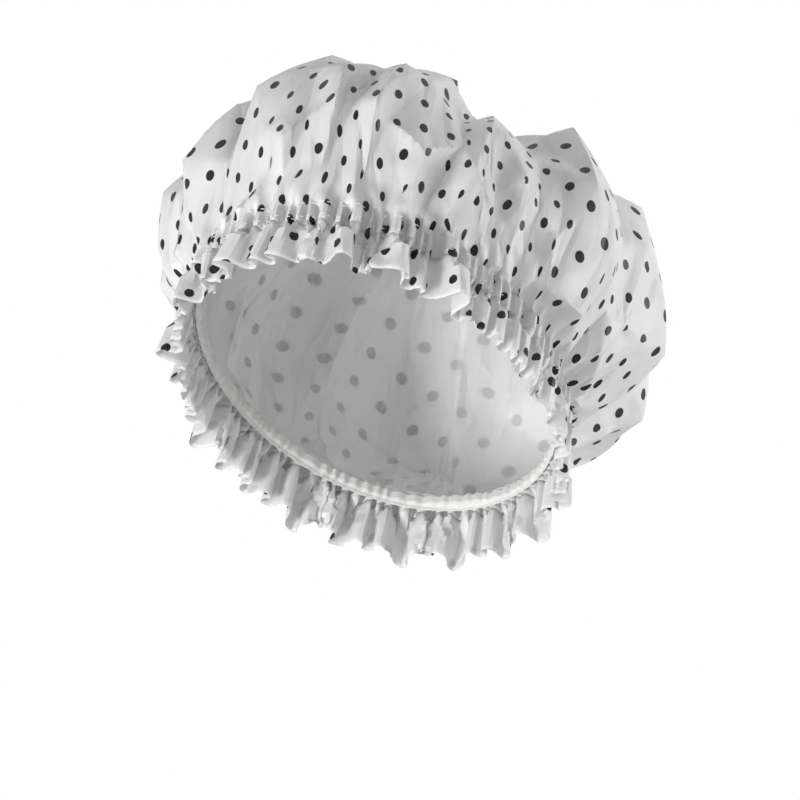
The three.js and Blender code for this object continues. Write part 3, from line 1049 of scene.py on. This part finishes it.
def spun_thread():
    """Spun polyester thread: matt white, with a fine fuzz of lighter and darker fibre."""
    material, tree = new_material("spun_thread")
    place = add_node(tree, "ShaderNodeTexCoord").outputs["Object"]
    fuzz = noise_node(tree, place, 1 / (THREAD_FUZZ * MM), 2.0)
    skin = add_node(tree, "ShaderNodeBsdfPrincipled", None,
                    {"Roughness": 0.7, "IOR": 1.5, "Sheen Weight": 0.25},
                    {"Base Color": tone_node(tree, fuzz, "#e2e2df", "#f8f8f6"),
                     "Normal": bump_node(tree, fuzz, 0.4, 0.05)})
    show_surface(tree, skin.outputs["BSDF"])
    return material


def lay_floor():
    """A pale floor well below the cap."""
    material, tree = new_material("pale_floor")
    skin = add_node(tree, "ShaderNodeBsdfPrincipled", None,
                    {"Base Color": linear("#f2f2f2"), "Roughness": 0.9})
    show_surface(tree, skin.outputs["BSDF"])
    half = FLOOR_SIZE / 2
    corners = [(-half, -half, FLOOR_HEIGHT), (half, -half, FLOOR_HEIGHT),
               (half, half, FLOOR_HEIGHT), (-half, half, FLOOR_HEIGHT)]
    mesh_piece("floor", corners, [(0, 1, 2, 3)], [material])


def place_camera():
    """A long lens that sees the cap from the photograph's side, with the origin where it falls there."""
    a, e, r = VIEW_AZIMUTH, VIEW_ELEVATION, VIEW_ROLL
    level = Vector((math.cos(a), math.sin(a), 0))
    rise = Vector((-math.sin(a) * math.sin(e), math.cos(a) * math.sin(e), math.cos(e)))
    back = Vector((math.sin(a) * math.cos(e), -math.cos(a) * math.cos(e), math.sin(e)))
    right = level * math.cos(r) - rise * math.sin(r)
    up = level * math.sin(r) + rise * math.cos(r)
    pixel = VIEW_WIDTH * MM / IMAGE_PIXELS
    middle = IMAGE_PIXELS / 2
    aim = right * (middle - ORIGIN_PIXEL[0]) * pixel + up * (ORIGIN_PIXEL[1] - middle) * pixel
    spot = aim + back * CAMERA_DISTANCE
    data = bpy.data.cameras.new("camera")
    data.sensor_width = SENSOR_WIDTH
    data.lens = SENSOR_WIDTH * CAMERA_DISTANCE / (VIEW_WIDTH * MM)
    data.clip_end = CLIP_END
    camera = put("camera", data)
    camera.matrix_world = Matrix((
        (right.x, up.x, back.x, spot.x),
        (right.y, up.y, back.y, spot.y),
        (right.z, up.z, back.z, spot.z),
        (0, 0, 0, 1),
    ))
    bpy.context.scene.camera = camera


def soft_light(name, spot, size, power):
    """A rectangular lamp that faces the origin."""
    data = bpy.data.lights.new(name, "AREA")
    data.shape = "RECTANGLE"
    data.size, data.size_y = size
    data.energy = power
    lamp = put(name, data)
    lamp.location = spot
    lamp.rotation_euler = (-Vector(spot)).to_track_quat("-Z", "Y").to_euler()


def light_studio():
    """White surroundings that fill the shadows only in part, and the lamps."""
    world = bpy.data.worlds.new("studio")
    bpy.context.scene.world = world
    world.use_nodes = True
    tree = world.node_tree
    tree.nodes.clear()
    path = add_node(tree, "ShaderNodeLightPath")
    seen = add_node(tree, "ShaderNodeBackground", None, {"Color": (1, 1, 1, 1), "Strength": 1.0})
    fill = add_node(tree, "ShaderNodeBackground", None, {"Color": (1, 1, 1, 1), "Strength": FILL_LIGHT})
    shine = math_node(tree, "MAXIMUM", None,
                      {0: path.outputs["Is Camera Ray"], 1: path.outputs["Is Glossy Ray"]})
    shows = math_node(tree, "MAXIMUM", None, {0: shine, 1: path.outputs["Is Transmission Ray"]})
    both = add_node(tree, "ShaderNodeMixShader", None, None,
                    {0: shows, 1: fill.outputs[0], 2: seen.outputs[0]})
    add_node(tree, "ShaderNodeOutputWorld", None, None, {"Surface": both.outputs[0]})
    for lamp in LAMPS:
        soft_light(*lamp)


film = make_film()
make_tape(film["puckers"])
make_elastic()
make_sewing(film)
lay_floor()
place_camera()
light_studio()
bpy.context.scene.view_settings.view_transform = "Standard"
